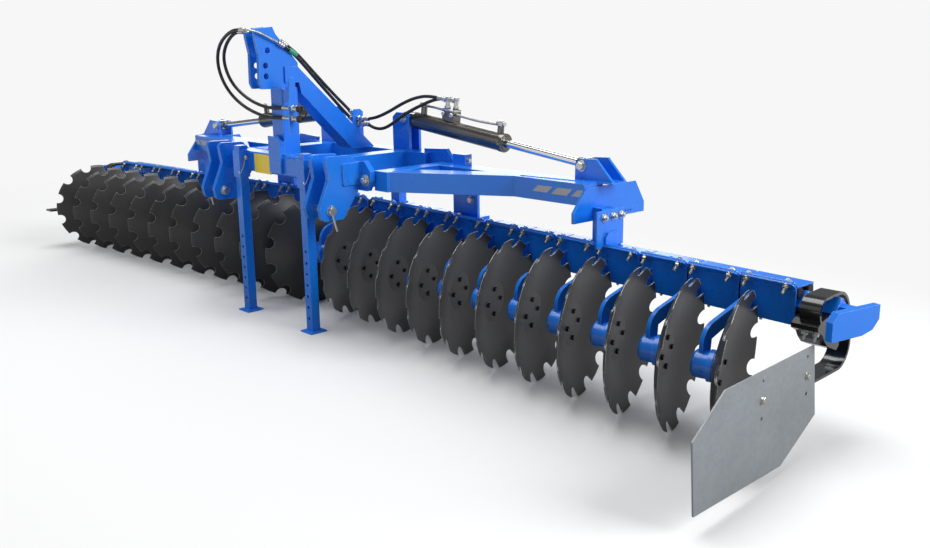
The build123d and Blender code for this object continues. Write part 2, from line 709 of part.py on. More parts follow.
# post, gusset, slanting brace to the back cross tube, and the hose brackets
brace_half = mast_outer + brace_wall
brace_top = 1374.0
brace_foot_back = 695.0
with BuildPart() as mast_post:
    plate(side_view, -brace_half, 2 * brace_half, [
        (119, brace_top), (198, brace_top), (brace_foot_back, tube_top_z), (540, tube_top_z), (215, 1232),
        (203, 1290), (119, 1290),
    ])
    with BuildSketch(side_view.offset(-mast_outer)) as brace_inside:
        with BuildLine():
            Polyline((203, 1290), (198, brace_top - 12), (brace_foot_back - 14, tube_top_z + brace_wall),
                     (551, tube_top_z + brace_wall), (226, 1238), close=True)
        make_face()
    extrude(amount=2 * mast_outer, mode=Mode.SUBTRACT)
    slab((-mast_outer, mast_outer), (100, 207), (1240, 1400), mode=Mode.SUBTRACT)
    slab((-post_half, post_half), (post_front_y, post_back_y), (tube_top_z, 1262))
    slab((-mast_inner, mast_inner), (post_front_y, post_back_y), (1262, 1385))
    plate(front_view, -front_tube_y, post_foot_gusset, [(-48, 815), (58, 815), (58, 990), (28, 1012), (-48, 1012)])
    plate(front_view, -post_front_y, post_front_y - front_tube_y, [(-48, 916), (58, 916), (58, 985), (-48, 985)])
    # plate for the two couplings beside the post
    bracket_x = 146.0
    plate(side_view, bracket_x, 8, [(66, 1030), (112, 1030), (112, 1305), (100, 1322), (80, 1322), (66, 1200)])
    slab((post_half, bracket_x + 8), (post_front_y + 5, 112), (1190, 1258))
    # plate for the two couplings on the brace
    plate(side_view, 40, 8, [(560, 1012), (632, 960), (632, 1112), (612, 1128), (572, 1128), (560, 1112)])
save(mast_post, "mast_post")

# blank sign plate in front of the frame, beside the gusset
with BuildPart() as sign_plate:
    slab((-214, -54), (front_tube_y - 3, front_tube_y), (801, 905))
save(sign_plate, "sign_plate")

# hose couplings and the bent steel pipes over the mast
coupling_z = (1164.0, 1112.0)
coupling_y = 88.0
with BuildPart() as fittings:
    for z in coupling_z:
        bar_x(coupling_y, z, fitting_radius, (bracket_x - 36, bracket_x))
        bar_x(coupling_y, z, fitting_radius, (bracket_x + 8, bracket_x + 60))
    tube_along([(34, -92, 1561), (68, -92, 1561), (69, -30, 1547), (68, 78, 1497)], pipe_radius, "outer mast pipe")
    tube_along([(-16, -70, 1552), (12, -70, 1552), (12, -10, 1545), (12, 133, 1505)], pipe_radius, "inner mast pipe")
    for z in (1076, 1046):
        bar_x(600, z, fitting_radius, (12, 40))
        bar_x(600, z, fitting_radius, (48, 98))
save(fittings, "hose_fittings")

# free hoses, each a plain tube along its route
hose_routes = {
    "hose_loop_upper": [
        (110, 88, 1164), (72, 88, 1164), (-20, 72, 1158), (-130, 62, 1174), (-232, 44, 1216), (-302, 20, 1280),
        (-325, -2, 1360), (-298, -24, 1434), (-222, -46, 1494), (-130, -64, 1536), (-66, -70, 1552), (-16, -70, 1552),
    ],
    "hose_loop_lower": [
        (110, 88, 1112), (62, 88, 1112), (-20, 74, 1107), (-138, 58, 1124), (-248, 36, 1168), (-322, 8, 1236),
        (-348, -20, 1320), (-328, -46, 1404), (-264, -68, 1478), (-166, -86, 1530), (-76, -92, 1558),
        (-16, -92, 1561), (34, -92, 1561),
    ],
    "hose_brace_lower": [
        (68, 80, 1496), (62, 162, 1452), (48, 246, 1380), (38, 336, 1292), (31, 430, 1202), (24, 518, 1118),
        (20, 585, 1060),
    ],
    "hose_brace_upper": [
        (12, 135, 1504), (9, 214, 1456), (2, 296, 1382), (0, 388, 1292), (4, 478, 1204), (12, 552, 1134),
        (20, 590, 1092),
    ],
    "hose_valve_upper": [
        (98, 600, 1076), (136, 600, 1076), (206, 612, 1090), (282, 634, 1124), (360, 658, 1168), (444, 682, 1202),
        (540, 696, 1215), (647, 697, 1202),
    ],
    "hose_valve_lower": [
        (98, 600, 1046), (134, 600, 1046), (184, 602, 1028), (246, 606, 1026), (312, 614, 1052), (382, 630, 1102),
        (458, 662, 1146), (550, 708, 1192), (635, 721, 1203.1), (684.7, 721, 1197.1),
    ],
}
for name, route in hose_routes.items():
    with BuildPart() as hose:
        tube_along(route, hose_radius, name)
    save(hose, name)
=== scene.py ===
import json
import math

import bmesh
import bpy
from mathutils import Matrix, Vector


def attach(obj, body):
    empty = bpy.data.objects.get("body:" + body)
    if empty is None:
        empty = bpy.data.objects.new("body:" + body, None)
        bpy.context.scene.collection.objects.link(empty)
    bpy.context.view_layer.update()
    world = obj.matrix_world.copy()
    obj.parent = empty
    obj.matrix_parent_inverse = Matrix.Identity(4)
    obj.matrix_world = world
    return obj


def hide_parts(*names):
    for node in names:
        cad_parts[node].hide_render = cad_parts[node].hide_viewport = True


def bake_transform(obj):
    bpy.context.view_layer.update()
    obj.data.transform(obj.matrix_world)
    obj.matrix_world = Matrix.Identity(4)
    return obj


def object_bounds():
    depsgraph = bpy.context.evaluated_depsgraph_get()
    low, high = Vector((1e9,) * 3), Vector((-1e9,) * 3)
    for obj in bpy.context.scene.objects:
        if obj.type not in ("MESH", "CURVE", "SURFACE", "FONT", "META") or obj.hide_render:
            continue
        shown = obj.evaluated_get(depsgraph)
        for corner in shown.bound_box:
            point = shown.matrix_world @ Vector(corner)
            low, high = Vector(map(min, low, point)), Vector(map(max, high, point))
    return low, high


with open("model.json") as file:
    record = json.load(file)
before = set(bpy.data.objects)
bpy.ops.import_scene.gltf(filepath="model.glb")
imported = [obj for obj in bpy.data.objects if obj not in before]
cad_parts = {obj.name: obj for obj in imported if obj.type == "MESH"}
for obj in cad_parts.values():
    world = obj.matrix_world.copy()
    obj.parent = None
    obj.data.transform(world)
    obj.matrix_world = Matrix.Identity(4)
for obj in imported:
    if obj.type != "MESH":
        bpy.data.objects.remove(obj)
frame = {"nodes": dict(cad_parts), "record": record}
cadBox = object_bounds()
nodes = frame["nodes"]

# places are written in millimetres from the line through the lower link pins, as in the source
hitchShift = -0.2687
sides = {"right": 1, "left": -1}


def spot(x, y, z):
    return Vector((x / 1000, y / 1000 + hitchShift, z / 1000))


cameraView = {
    "place": (4290.6, -2734.5, 1504.7), "yaw": 43.859, "pitch": 13.182, "roll": -0.382,
    "focalPixels": 936.378, "imageWidth": 930, "imageHeight": 548, "principal": (491.84, 258.84),
}


def makeCamera(c):
    yaw, pitch, roll = (math.radians(c[k]) for k in ("yaw", "pitch", "roll"))
    level = math.cos(pitch)
    ahead = Vector((-math.sin(yaw) * level, math.cos(yaw) * level, -math.sin(pitch)))
    right = Vector((math.cos(yaw), math.sin(yaw), 0))
    up = right.cross(ahead)
    rolledRight = right * math.cos(roll) + up * math.sin(roll)
    rolledUp = up * math.cos(roll) - right * math.sin(roll)
    data = bpy.data.cameras.new("photoCamera")
    data.sensor_fit = "HORIZONTAL"
    data.sensor_width = 36
    data.lens = 36 * c["focalPixels"] / c["imageWidth"]
    data.shift_x = (c["imageWidth"] / 2 - c["principal"][0]) / c["imageWidth"]
    data.shift_y = (c["principal"][1] - c["imageHeight"] / 2) / c["imageWidth"]
    data.clip_end = 200
    camera = bpy.data.objects.new("photoCamera", data)
    bpy.context.collection.objects.link(camera)
    turn = Matrix((rolledRight, rolledUp, -ahead)).transposed().to_4x4()
    camera.matrix_world = Matrix.Translation(spot(*c["place"])) @ turn
    bpy.context.scene.camera = camera


makeCamera(cameraView)
print("camera ready")

# soft studio light: a large panel on the right, one overhead, a weak one in front,
# and one behind that puts a sheen on the tops
lamps = {
    "keyPanel": {"place": (14.0, 4.5, 8.0), "aim": (0, 0, 0.5), "size": 9.0, "power": 2000},
    "topPanel": {"place": (-1.0, -1.0, 16.0), "aim": (0, 0, 0.4), "size": 12.0, "power": 2150},
    "frontPanel": {"place": (-8.0, -14.0, 7.0), "aim": (-0.5, 0, 0.5), "size": 9.0, "power": 170},
    "backPanel": {"place": (-13.0, 13.0, 6.0), "aim": (0, 0, 0.8), "size": 13.0, "power": 1300},
}
for name, lamp in lamps.items():
    data = bpy.data.lights.new(name, "AREA")
    data.shape = "SQUARE"
    data.size = lamp["size"]
    data.energy = lamp["power"]
    light = bpy.data.objects.new(name, data)
    light.location = lamp["place"]
    toAim = Vector(lamp["aim"]) - Vector(lamp["place"])
    light.rotation_euler = toAim.to_track_quat("-Z", "Y").to_euler()
    light.visible_camera = False
    bpy.context.collection.objects.link(light)

backdrop = {"paleGrey": 0.93, "fillStrength": 0.19, "fillColour": (0.95, 0.97, 1.0)}
bpy.context.scene.view_settings.view_transform = "Standard"
world = bpy.data.worlds.new("studio")
bpy.context.scene.world = world
world.use_nodes = True
wn, wl = world.node_tree.nodes, world.node_tree.links
wn.clear()
worldOut = wn.new("ShaderNodeOutputWorld")
fill = wn.new("ShaderNodeBackground")
fill.inputs["Color"].default_value = backdrop["fillColour"] + (1,)
fill.inputs["Strength"].default_value = backdrop["fillStrength"]
seen = wn.new("ShaderNodeBackground")
seen.inputs["Color"].default_value = (backdrop["paleGrey"],) * 3 + (1,)
seen.inputs["Strength"].default_value = 1.0
lightPath = wn.new("ShaderNodeLightPath")
worldMix = wn.new("ShaderNodeMixShader")
wl.new(lightPath.outputs["Is Camera Ray"], worldMix.inputs[0])
wl.new(fill.outputs[0], worldMix.inputs[1])
wl.new(seen.outputs[0], worldMix.inputs[2])
wl.new(worldMix.outputs[0], worldOut.inputs["Surface"])
print("studio light ready")


# wiring of one material: each method adds one layer to its principled shader
class Finish:
    def __init__(self, name):
        self.material = bpy.data.materials.new(name)
        self.material.use_nodes = True
        self.tree = self.material.node_tree
        self.tree.nodes.clear()
        self.output = self.add("OutputMaterial")
        self.shader = self.add("BsdfPrincipled")
        self.join(self.shader.outputs[0], self.output.inputs["Surface"])

    def add(self, kind, **values):
        node = self.tree.nodes.new("ShaderNode" + kind)
        for key, value in values.items():
            setattr(node, key, value)
        return node

    def join(self, a, b):
        self.tree.links.new(a, b)

    def set(self, **values):
        for key, value in values.items():
            self.shader.inputs[key.replace("_", " ")].default_value = value

    def noise(self, scale, detail=3.0, stretch=None, rough=0.5):
        place = self.add("TexCoord").outputs["Object"]
        if stretch:
            mapping = self.add("Mapping")
            mapping.inputs["Scale"].default_value = stretch
            self.join(place, mapping.inputs["Vector"])
            place = mapping.outputs["Vector"]
        node = self.add("TexNoise")
        node.inputs["Scale"].default_value = scale
        node.inputs["Detail"].default_value = detail
        node.inputs["Roughness"].default_value = rough
        self.join(place, node.inputs["Vector"])
        return node.outputs["Fac"]

    def ramp(self, value, low, high, fromValue=0.35, toValue=0.65):
        node = self.add("ValToRGB")
        for element, place, c in zip(node.color_ramp.elements, (fromValue, toValue), (low, high)):
            element.position = place
            element.color = c + (1,) if isinstance(c, tuple) else (c, c, c, 1)
        self.join(value, node.inputs["Fac"])
        return node.outputs["Color"]

    def mix(self, factor, a, b, blend="MIX"):
        node = self.add("Mix", data_type="RGBA", blend_type=blend)
        for value, socket in ((factor, node.inputs[0]), (a, node.inputs[6]), (b, node.inputs[7])):
            if isinstance(value, (tuple, float)):
                socket.default_value = value + (1,) if isinstance(value, tuple) else value
            else:
                self.join(value, socket)
        return node.outputs[2]

    def base(self, colour):
        self.join(colour, self.shader.inputs["Base Color"])

    def rough(self, value, low, high):
        node = self.add("MapRange")
        node.inputs["To Min"].default_value = low
        node.inputs["To Max"].default_value = high
        self.join(value, node.inputs["Value"])
        self.join(node.outputs["Result"], self.shader.inputs["Roughness"])

    def bump(self, value, strength, distance, edge=0.0):
        node = self.add("Bump")
        node.inputs["Strength"].default_value = strength
        node.inputs["Distance"].default_value = distance
        self.join(value, node.inputs["Height"])
        if edge:
            bevel = self.add("Bevel", samples=4)
            bevel.inputs["Radius"].default_value = edge
            self.join(bevel.outputs["Normal"], node.inputs["Normal"])
        self.join(node.outputs["Normal"], self.shader.inputs["Normal"])

    # 1 along sharp edges and 0 on the flats, from how far a rounded normal turns from the true one
    def edges(self, radius, flat=0.995, sharp=0.90):
        bevel = self.add("Bevel", samples=6)
        bevel.inputs["Radius"].default_value = radius
        dot = self.add("VectorMath", operation="DOT_PRODUCT")
        self.join(bevel.outputs["Normal"], dot.inputs[0])
        self.join(self.add("NewGeometry").outputs["Normal"], dot.inputs[1])
        mask = self.add("MapRange")
        mask.inputs["From Min"].default_value = flat
        mask.inputs["From Max"].default_value = sharp
        self.join(dot.outputs["Value"], mask.inputs["Value"])
        return mask.outputs["Result"]


def shade(c, k):
    return tuple(min(1.0, v * k) for v in c)


# glossy sprayed paint with a little cloudiness and orange peel, and a painted highlight along its
# sharp edges
def paint(name, colour, low, high, spread=0.06, peel=0.10, edge=0.004, coat=0.35, edgeHighlight=None):
    m = Finish(name)
    body = m.ramp(m.noise(2.2, 4), shade(colour, 1 - spread), shade(colour, 1 + spread))
    # painted highlight: the colour turns paler along sharp edges, where light would glint
    if edgeHighlight:
        body = m.mix(m.edges(edge * 0.7), body, edgeHighlight)
    m.base(body)
    m.rough(m.noise(7, 5), low, high)
    m.bump(m.noise(420, 2), peel, 0.0006, edge)
    m.set(Coat_Weight=coat, Coat_Roughness=0.08)
    return m.material


# plated or bare metal, and rubber where metallic is 0
def metal(name, colour, low, high, spread=0.08, grain=(1, 1, 1), scale=90, strength=0.12,
          edge=0.0, metallic=1.0):
    m = Finish(name)
    m.base(m.ramp(m.noise(6, 6, rough=0.65), shade(colour, 1 - spread), shade(colour, 1 + spread)))
    m.rough(m.noise(scale * 0.3, 4, grain), low, high)
    m.bump(m.noise(scale, 3, grain), strength, 0.0004, edge)
    m.set(Metallic=metallic)
    return m.material


def galvanised(name):
    m = Finish(name)
    cells = m.add("TexVoronoi")
    cells.inputs["Scale"].default_value = 60
    m.join(m.add("TexCoord").outputs["Object"], cells.inputs["Vector"])
    spangle = m.ramp(cells.outputs["Color"], (0.285, 0.315, 0.335), (0.315, 0.345, 0.365), 0.1, 0.9)
    m.base(m.mix(1.0, spangle, m.ramp(m.noise(2.5, 5), 0.88, 1.05), "MULTIPLY"))
    m.rough(m.noise(30, 4), 0.42, 0.55)
    m.bump(m.noise(160, 2), 0.06, 0.0005, 0.002)
    m.set(Metallic=0.25)
    return m.material


# rolled and hardened disc steel: dark and satin, ground bright along its rim and notches, where the
# bright edge colour is also a painted highlight
def discSteel(name):
    m = Finish(name)
    clouds = m.noise(4.5, 6, rough=0.6)
    dark = m.ramp(clouds, (0.034, 0.034, 0.035), (0.052, 0.051, 0.049), 0.3, 0.7)
    # bright steel along the rim and notch edges: partly ground steel, partly a painted highlight
    groundEdgeAndHighlight = m.edges(0.0030, 0.975, 0.84)
    m.base(m.mix(groundEdgeAndHighlight, dark, (0.62, 0.62, 0.60)))
    m.rough(m.noise(9, 5), 0.27, 0.40)
    m.bump(m.noise(260, 3), 0.07, 0.0005, 0.0015)
    m.set(Metallic=0.10, Coat_Weight=0.12, Coat_Roughness=0.30)
    return m.material


# hose cover with the faint wrap marks of its curing cloth
def hoseRubber(name):
    m = Finish(name)
    m.base(m.ramp(m.noise(30, 4), (0.010, 0.010, 0.010), (0.022, 0.020, 0.019)))
    m.rough(m.noise(60, 3), 0.30, 0.44)
    m.bump(m.noise(500, 2), 0.15, 0.0005)
    return m.material


blueTone = (0.008, 0.195, 0.820)
finish = {
    # the blue's paler edge colour is a painted highlight
    "blue_paint": paint("bluePaint", blueTone, 0.22, 0.34, coat=0.15, edgeHighlight=(0.16, 0.44, 0.95)),
    "disc_steel": discSteel("discSteel"),
    "black_rubber": metal("blackRubber", (0.016, 0.016, 0.016), 0.55, 0.75, metallic=0.0),
    "black_steel": paint("blackPaint", (0.010, 0.010, 0.011), 0.14, 0.24, coat=0.6),
    "galvanised": galvanised("galvanised"),
    "zinc_steel": metal("zincPlate", (0.62, 0.62, 0.58), 0.24, 0.40, edge=0.001),
    "dark_steel": metal("darkBarrel", (0.17, 0.16, 0.145), 0.20, 0.30, scale=40, strength=0.04,
                        metallic=0.9, edge=0.002),
    "hose_rubber": hoseRubber("hoseRubber"),
    "sign_yellow": paint("signYellow", (1.0, 0.70, 0.02), 0.35, 0.45, edge=0.0015),
    "chrome_rod": metal("chromeRod", (0.80, 0.80, 0.79), 0.07, 0.13, strength=0.03),
}
yellowZinc = metal("yellowZinc", (0.66, 0.63, 0.50), 0.26, 0.42, edge=0.001)
reflectorGrey = paint("reflectorGrey", (0.43, 0.44, 0.45), 0.30, 0.40, edge=0.0, coat=0.1)
labelGreen = paint("labelGreen", (0.02, 0.34, 0.18), 0.35, 0.45, edge=0.001, coat=0.1)
boltBlack = paint("boltBlack", (0.006, 0.006, 0.007), 0.35, 0.50, edge=0.001, coat=0.1)
bluePaint, zinc = finish["blue_paint"], finish["zinc_steel"]

slotOf = {part["node"]: part["material_slot"] for part in frame["record"]["subparts"]}
for nodeName, obj in nodes.items():
    mat = finish[slotOf[nodeName]]
    if not obj.material_slots:
        obj.data.materials.append(mat)
    for s in obj.material_slots:
        s.material = mat
print("materials ready")


# place whose z axis points along the given axis
def facing(origin, axis, twist=0.0):
    turn = Vector(axis).to_track_quat("Z", "Y").to_matrix().to_4x4()
    return Matrix.Translation(origin) @ turn @ Matrix.Rotation(math.radians(twist), 4, "Z")


# closed turned or many-sided form from (radius, height) pairs in millimetres, with both
# its ends on its axis
def turned(bm, place, profile, around):
    rings = []
    for radius, height in profile:
        if radius == 0:
            rings.append([bm.verts.new(place @ Vector((0, 0, height / 1000)))])
            continue
        ring = []
        for k in range(around):
            a = 2 * math.pi * (k + 0.5) / around
            point = Vector((radius * math.cos(a), radius * math.sin(a), height)) / 1000
            ring.append(bm.verts.new(place @ point))
        rings.append(ring)
    for low, high in zip(rings, rings[1:]):
        for k in range(around):
            n = (k + 1) % around
            if len(low) == 1:
                bm.faces.new((low[0], high[n], high[k]))
            elif len(high) == 1:
                bm.faces.new((low[k], low[n], high[0]))
            else:
                bm.faces.new((low[k], low[n], high[n], high[k]))


# nut or head with chamfered corners; across is the width over its flats
def hexagon(bm, place, across, thick, around=6):
    corner = across / 2 / math.cos(math.pi / around)
    turned(bm, place, [(0, 0), (corner * 0.94, 0), (corner, thick * 0.12), (corner, thick * 0.84),
                       (corner * 0.88, thick), (0, thick)], around)


def washer(bm, place, radius, thick):
    profile = [(0, 0), (radius, 0), (radius, thick * 0.7), (radius * 0.95, thick), (0, thick)]
    turned(bm, place, profile, 20)


def raised(place, height):
    return place @ Matrix.Translation((0, 0, height / 1000))


# washer, nut and the threaded end of a bolt of the given size, standing on a face
def nutEnd(bm, place, size, stickOut):
    washer(bm, place, size * 1.05, size * 0.18)
    hexagon(bm, raised(place, size * 0.18), size * 1.55, size * 0.8)
    start, pitch, radius = size * 0.9, size * 0.16, size / 2
    profile = [(0, start), (radius * 0.88, start)]
    turns = int(stickOut / pitch)
    for k in range(turns):
        low = start + k * pitch
        profile += [(radius, low + pitch * 0.4), (radius * 0.86, low + pitch * 0.9)]
    profile += [(radius * 0.7, start + turns * pitch + 1), (0, start + turns * pitch + 1)]
    turned(bm, place, profile, 10)


def headEnd(bm, place, size):
    washer(bm, place, size * 1.05, size * 0.18)
    hexagon(bm, raised(place, size * 0.18), size * 1.55, size * 0.65)


# solid through a cloud of points, such as a block with its edges taken off
def block(bm, place, size, edge=1.0):
    half = [s / 2 for s in size]
    points = []
    for sx in (-1, 1):
        for sy in (-1, 1):
            for sz in (-1, 1):
                corner = [sx * half[0], sy * half[1], sz * half[2]]
                for axis in range(3):
                    p = [c - math.copysign(edge, c) for c in corner]
                    p[axis] = corner[axis]
                    points.append(bm.verts.new(place @ (Vector(p) / 1000)))
    bmesh.ops.convex_hull(bm, input=points, use_existing_faces=False)
    loose = [v for v in points if v.is_valid and not v.link_faces]
    bmesh.ops.delete(bm, geom=loose, context="VERTS")


# weld bead between two points, with the ripples of its pool
def bead(bm, start, end, radius):
    length = (end - start).length * 1000
    steps = max(3, int(length / 9))
    profile = [(0, 0)]
    for k in range(steps * 2):
        swell = 1.0 if k % 2 else 0.84
        profile.append((radius * swell, length * (k + 0.5) / (steps * 2)))
    profile.append((0, length))
    turned(bm, facing(start, end - start), profile, 6)


def makePiece(name, bm, material, body, roundAngle=40):
    bmesh.ops.recalc_face_normals(bm, faces=bm.faces)
    mesh = bpy.data.meshes.new(name)
    bm.to_mesh(mesh)
    bm.free()
    mesh.materials.append(material)
    mesh.polygons.foreach_set("use_smooth", [True] * len(mesh.polygons))
    mesh.set_sharp_from_angle(angle=math.radians(roundAngle))
    obj = bpy.data.objects.new(name, mesh)
    bpy.context.collection.objects.link(obj)
    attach(obj, body)
    return obj


# round bar or wire bent along points
def makeWire(name, points, radius, material, body, orderU=3):
    curve = bpy.data.curves.new(name, "CURVE")
    curve.dimensions = "3D"
    curve.bevel_depth = radius / 1000
    curve.bevel_resolution = 3
    curve.use_fill_caps = True
    line = curve.splines.new("NURBS")
    line.points.add(len(points) - 1)
    for p, place in zip(line.points, points):
        p.co = tuple(place) + (1,)
    line.use_endpoint_u = True
    line.order_u = orderU
    line.resolution_u = 8
    curve.materials.append(material)
    obj = bpy.data.objects.new(name, curve)
    bpy.context.collection.objects.link(obj)
    if body:
        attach(obj, body)
    return obj


# hoses, each on the route that the source gives it
hoses = {
    "hose_loop_upper": {"length": 0.93, "route": [
        (110, 88, 1164), (72, 88, 1164), (-20, 72, 1158), (-130, 62, 1174), (-232, 44, 1216),
        (-302, 20, 1280), (-325, -2, 1360), (-298, -24, 1434), (-222, -46, 1494),
        (-130, -64, 1536), (-66, -70, 1552), (-16, -70, 1552),
    ]},
    "hose_loop_lower": {"length": 1.066, "route": [
        (110, 88, 1112), (62, 88, 1112), (-20, 74, 1107), (-138, 58, 1124), (-248, 36, 1168),
        (-322, 8, 1236), (-348, -20, 1320), (-328, -46, 1404), (-264, -68, 1478),
        (-166, -86, 1530), (-76, -92, 1558), (-16, -92, 1561), (34, -92, 1561),
    ]},
    "hose_brace_lower": {"length": 0.67, "route": [
        (68, 80, 1496), (62, 162, 1452), (48, 246, 1380), (38, 336, 1292), (31, 430, 1202),
        (24, 518, 1118), (20, 585, 1060),
    ]},
    "hose_brace_upper": {"length": 0.616, "route": [
        (12, 135, 1504), (9, 214, 1456), (2, 296, 1382), (0, 388, 1292), (4, 478, 1204),
        (12, 552, 1134), (20, 590, 1092),
    ]},
    "hose_valve_upper": {"length": 0.585, "farBody": "barrel_right", "route": [
        (98, 600, 1076), (136, 600, 1076), (206, 612, 1090), (282, 634, 1124), (360, 658, 1168),
        (444, 682, 1202), (540, 696, 1215), (647, 697, 1202),
    ]},
    "hose_valve_lower": {"length": 0.645, "farBody": "barrel_right", "route": [
        (98, 600, 1046), (134, 600, 1046), (184, 602, 1028), (246, 606, 1026), (312, 614, 1052),
        (382, 630, 1102), (458, 662, 1146), (550, 708, 1192), (635, 721, 1203.1),
        (684.7, 721, 1197.1),
    ]},
}
hoseRadius = 9
ferrule = {"radius": 12.2, "length": 42}


def ferruleOn(name, end, inward, body):
    bm = bmesh.new()
    r, l = ferrule["radius"], ferrule["length"]
    turned(bm, facing(end, inward), [
        (0, 0), (r * 0.9, 0), (r, 1.5), (r, l * 0.30), (r * 0.9, l * 0.34), (r * 0.9, l * 0.40),
        (r, l * 0.44), (r, l * 0.64), (r * 0.9, l * 0.68), (r * 0.9, l * 0.74), (r, l * 0.78),
        (r, l - 1.5), (r * 0.9, l), (0, l),
    ], 18)
    return makePiece(name, bm, zinc, body)


for nodeName, hose in hoses.items():
    words = nodeName.split("_")
    name = words[0] + words[1].title() + words[2].title()
    places = [spot(*p) for p in hose["route"]]
    farBody = hose.get("farBody")
    endBody = farBody or "centre_frame"
    ends = [
        ferruleOn(name + "StartSleeve", places[0], places[1] - places[0], "centre_frame"),
        ferruleOn(name + "EndSleeve", places[-1], places[-2] - places[-1], endBody),
    ]
    rideOn = None if farBody else "centre_frame"
    line = makeWire(name, places, hoseRadius, finish["hose_rubber"], rideOn)
    if farBody:
        # a hose that crosses the cylinder's pin is turned into a mesh
        line.data.bevel_depth = 0
        centre = bpy.data.meshes.new_from_object(line)
        line.data.bevel_depth = hoseRadius / 1000
        tube = bpy.data.meshes.new_from_object(line)
        bpy.data.objects.remove(line)
        line = bpy.data.objects.new(name, tube)
        bpy.context.collection.objects.link(line)
        tube.polygons.foreach_set("use_smooth", [True] * len(tube.polygons))
    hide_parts(nodeName)
    if farBody:
        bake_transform(line)
print("hoses ready")

# the gang beam's frame on each side: along the beam outward, toward the back, and up
gang = {
    "innerX": 25, "frontY": 700, "topZ": 590, "depth": 126, "height": 150, "sweep": 3.96,
    "pitch": 250, "discs": 11,
}
sweep = math.radians(gang["sweep"])


def gangTurn(side, along, back, up):
    x = along * math.cos(sweep) + back * math.sin(sweep)
    y = back * math.cos(sweep) - along * math.sin(sweep)
    return Vector((side * x, y, up))


def gangSpot(side, along, back, up):
    v = gangTurn(side, along, back, up)
    return spot(side * gang["innerX"] + v.x, gang["frontY"] + gang["depth"] / 2 + v.y,
                gang["topZ"] - gang["height"] / 2 + v.z)


# bolts through the flanges that hold each pair of clamp halves, and the two ribs on each clamp
clampBolt = {"size": 14, "stickOut": 26, "fromCentre": 86, "outward": 12, "flange": 8}
clampRib = {"size": (11, 58, 7), "fromCentre": 20, "back": -8}
diag = math.sqrt(0.5)
for sideName, side in sides.items():
    zincBolts, paintedHeads, ribs = bmesh.new(), bmesh.new(), bmesh.new()
    for index in range(gang["discs"]):
        middle = (index + 0.5) * gang["pitch"]
        for offset in (-clampBolt["fromCentre"], clampBolt["fromCentre"]):
            for front in (-1, 1):
                back = front * (gang["depth"] / 2 + clampBolt["outward"] * diag)
                up = -front * (gang["height"] / 2 + clampBolt["outward"] * diag)
                for way, bolts in ((-1, zincBolts), (1, paintedHeads)):
                    lift = way * clampBolt["flange"] * diag
                    origin = gangSpot(side, middle + offset, back + lift, up + lift)
                    place = facing(origin, gangTurn(side, 0, way, way), twist=17 * index)
                    if way < 0:
                        nutEnd(bolts, place, clampBolt["size"], clampBolt["stickOut"])
                    else:
                        headEnd(bolts, place, clampBolt["size"])
        for offset in (-clampRib["fromCentre"], clampRib["fromCentre"]):
            lie = gangTurn(side, 0, 1, 0)
            origin = gangSpot(side, middle + offset, clampRib["back"], gang["height"] / 2)
            swing = math.atan2(lie.y, lie.x) - math.pi / 2
            place = Matrix.Translation(origin) @ Matrix.Rotation(swing, 4, "Z")
            block(ribs, place, clampRib["size"], 2.0)
    makePiece("clampNuts_" + sideName, zincBolts, yellowZinc, "wing_" + sideName)
    makePiece("clampHeads_" + sideName, paintedHeads, zinc, "wing_" + sideName)
    makePiece("clampRibs_" + sideName, ribs, bluePaint, "wing_" + sideName)
print("clamp bolts ready")

# four square bolt heads in the hollow of each disc
discFix = {
    "boltCircle": 61, "across": 16, "thick": 9, "firstAngle": 3, "yaw": 16.1, "lean": 2.9,
    "along": 118, "back": 281, "radius": 305, "flatRadius": 95, "dishRadius": 695,
    "sunk": 0.0005,
}
yaw, lean = math.radians(discFix["yaw"]), math.radians(discFix["lean"])
dishDepth = (math.sqrt(discFix["dishRadius"] ** 2 - discFix["flatRadius"] ** 2)
             - math.sqrt(discFix["dishRadius"] ** 2 - discFix["radius"] ** 2))
discHeight = discFix["radius"] * math.cos(lean) + dishDepth * math.sin(lean)
for sideName, side in sides.items():
    flat = math.cos(lean)
    axis = Vector((side * flat * math.cos(yaw), flat * math.sin(yaw), -math.sin(lean)))
    across = Vector((-axis.y, axis.x, 0)).normalized()
    upward = axis.cross(across)
    for index in range(gang["discs"]):
        along = index * gang["pitch"] + discFix["along"]
        centre = gangSpot(side, along, -gang["depth"] / 2 - discFix["back"], 0)
        centre.z = discHeight / 1000
        heads = bmesh.new()
        for k in range(4):
            a = math.radians(discFix["firstAngle"] + 90 * k)
            outward = across * math.cos(a) + upward * math.sin(a)
            origin = centre + outward * discFix["boltCircle"] / 1000
            place = facing(origin - axis * discFix["sunk"], axis, twist=10 * k)
            hexagon(heads, place, discFix["across"], discFix["thick"], 4)
        makePiece("discHeads_%s_%02d" % (sideName, index + 1), heads, boltBlack,
                  "disc_body_%s_%02d" % (sideName, index + 1))
print("disc bolts ready")

